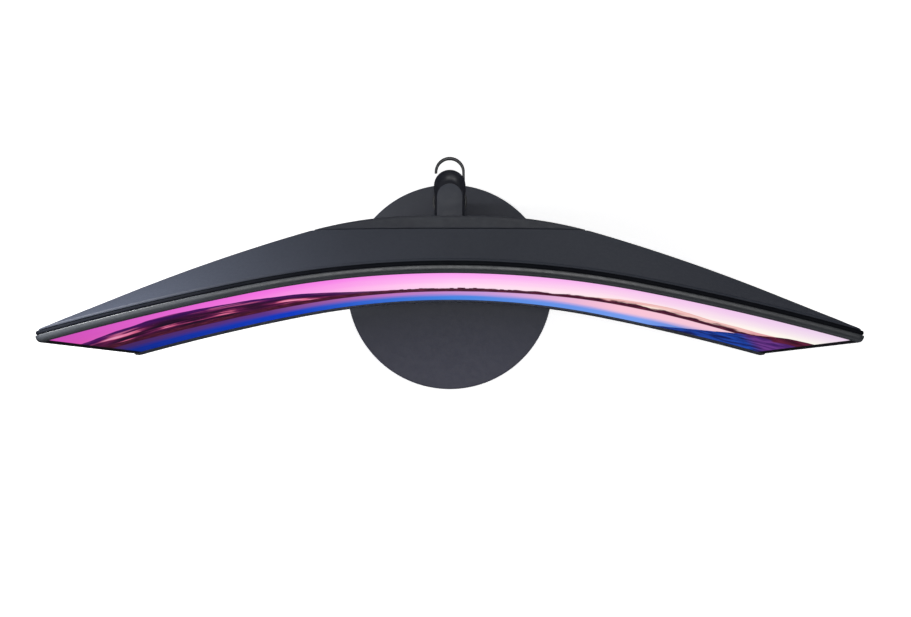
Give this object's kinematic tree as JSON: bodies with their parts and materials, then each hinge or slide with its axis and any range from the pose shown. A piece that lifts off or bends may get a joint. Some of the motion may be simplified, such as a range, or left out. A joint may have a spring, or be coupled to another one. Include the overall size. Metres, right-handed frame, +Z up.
{
  "type": "curved computer monitor on a round-foot stand",
  "caption": "Widescreen curved desktop monitor with a slim rim, textured tapering back, bent-tube neck, cable hook and flat round base; the head tilts.",
  "frame": {"origin": "centre of the base's underside, on the desk", "axes": "+X to the viewer's right, +Y to the rear, -Y towards the viewer, +Z up"},
  "size_m": [0.7066, 0.2551, 0.523],
  "materials": {
    "textured_shell": "fine fabric-like texture, matte",
    "housing_plastic": "smooth matte",
    "rim_plastic": "satin gloss",
    "chin_plastic": "fine matte",
    "frame_plastic": "matte",
    "display_glass": "anti-glare glass over a lit picture",
    "optical_film": "translucent white film",
    "clear_acrylic": "clear acrylic",
    "zinc_steel": "zinc-plated sheet steel",
    "bare_steel": "machined steel",
    "screw_steel": "black-zinc screws",
    "circuit_board": "green solder mask",
    "connector_plastic": "moulded connector plastic",
    "cable_film": "flat flexible cable",
    "socket_metal": "nickel-plated shells",
    "socket_plastic": "black moulded plastic",
    "stand_paint": "satin dark blue-grey paint",
    "arm_cover_plastic": "satin",
    "clip_plastic": "satin",
    "weight_steel": "raw steel",
    "plate_plastic": "matte",
    "foot_rubber": "matte rubber",
    "joystick_plastic": "matte"
  },
  "bodies": {
    "root": {"base_cover": "stand_paint", "base_weight": "weight_steel", "base_bottom_plate": "plate_plastic", "base_screws": "screw_steel", "rubber_feet": "foot_rubber", "neck_tube": "stand_paint", "neck_foot": "bare_steel", "connecting_screw": "bare_steel", "arm_top_cover": "arm_cover_plastic", "hinge_block": "bare_steel", "hinge_block_screws": "screw_steel", "hinge_pin": "bare_steel", "hinge_washers": "bare_steel", "hinge_nut": "bare_steel", "cable_clip": "clip_plastic"},
    "head": {"rear_cover": "textured_shell", "rear_housing": "housing_plastic", "port_panel": "housing_plastic", "front_rim": "rim_plastic", "bottom_chin": "chin_plastic", "mid_frame": "frame_plastic", "lcd_panel": "display_glass", "prism_sheet": "optical_film", "diffuser_sheet": "optical_film", "reflector_sheet": "optical_film", "light_guide": "clear_acrylic", "power_led_lens": "clear_acrylic", "back_chassis": "zinc_steel", "hinge_bracket": "zinc_steel", "board_shield": "zinc_steel", "board_standoffs": "zinc_steel", "vesa_bosses": "bare_steel", "bracket_screws": "screw_steel", "board_screws": "screw_steel", "housing_screws": "screw_steel", "main_board": "circuit_board", "panel_driver_board": "circuit_board", "led_strip": "circuit_board", "jog_board": "circuit_board", "driver_connector": "connector_plastic", "panel_cable": "cable_film", "hdmi_socket": "socket_metal", "displayport_socket": "socket_metal", "vga_socket": "socket_metal", "audio_jack": "socket_plastic", "dc_inlet": "socket_plastic", "jog_well": "joystick_plastic"},
    "bail": {"screw_bail": "bare_steel"},
    "jog_gimbal": {"jog_gimbal": "joystick_plastic"},
    "jog_stick": {"jog_stick": "joystick_plastic"},
    "jog_cap": {"jog_cap": "joystick_plastic"}
  },
  "joints": [
    {"name": "tilt", "type": "hinge", "parent": "root", "child": "head", "pos_m": [0, 0.012, 0.303], "axis": [-1, 0, 0], "range_deg": [-2, 22]},
    {"name": "jog_rock", "type": "hinge", "parent": "head", "child": "jog_gimbal", "pos_m": [0.20238, -0.01665, 0.172], "axis": [-0.945, 0.3272, 0], "range_deg": [-8, 8], "stiffness_Nm_per_rad": 0.08},
    {"name": "jog_sway", "type": "hinge", "parent": "jog_gimbal", "child": "jog_stick", "pos_m": [0.20238, -0.01665, 0.172], "axis": [0, 0, 1], "range_deg": [-8, 8], "stiffness_Nm_per_rad": 0.08},
    {"name": "jog_press", "type": "slide", "parent": "jog_stick", "child": "jog_cap", "axis": [-0.3272, -0.945, 0], "range_m": [0, 0.0006], "stiffness_N_per_m": 1500, "springref_m": -0.0006},
    {"name": "bail_fold", "type": "hinge", "parent": "root", "child": "bail", "pos_m": [0, 0.0835, 0.0027], "axis": [1, 0, 0], "range_deg": [0, 90]}
  ]
}
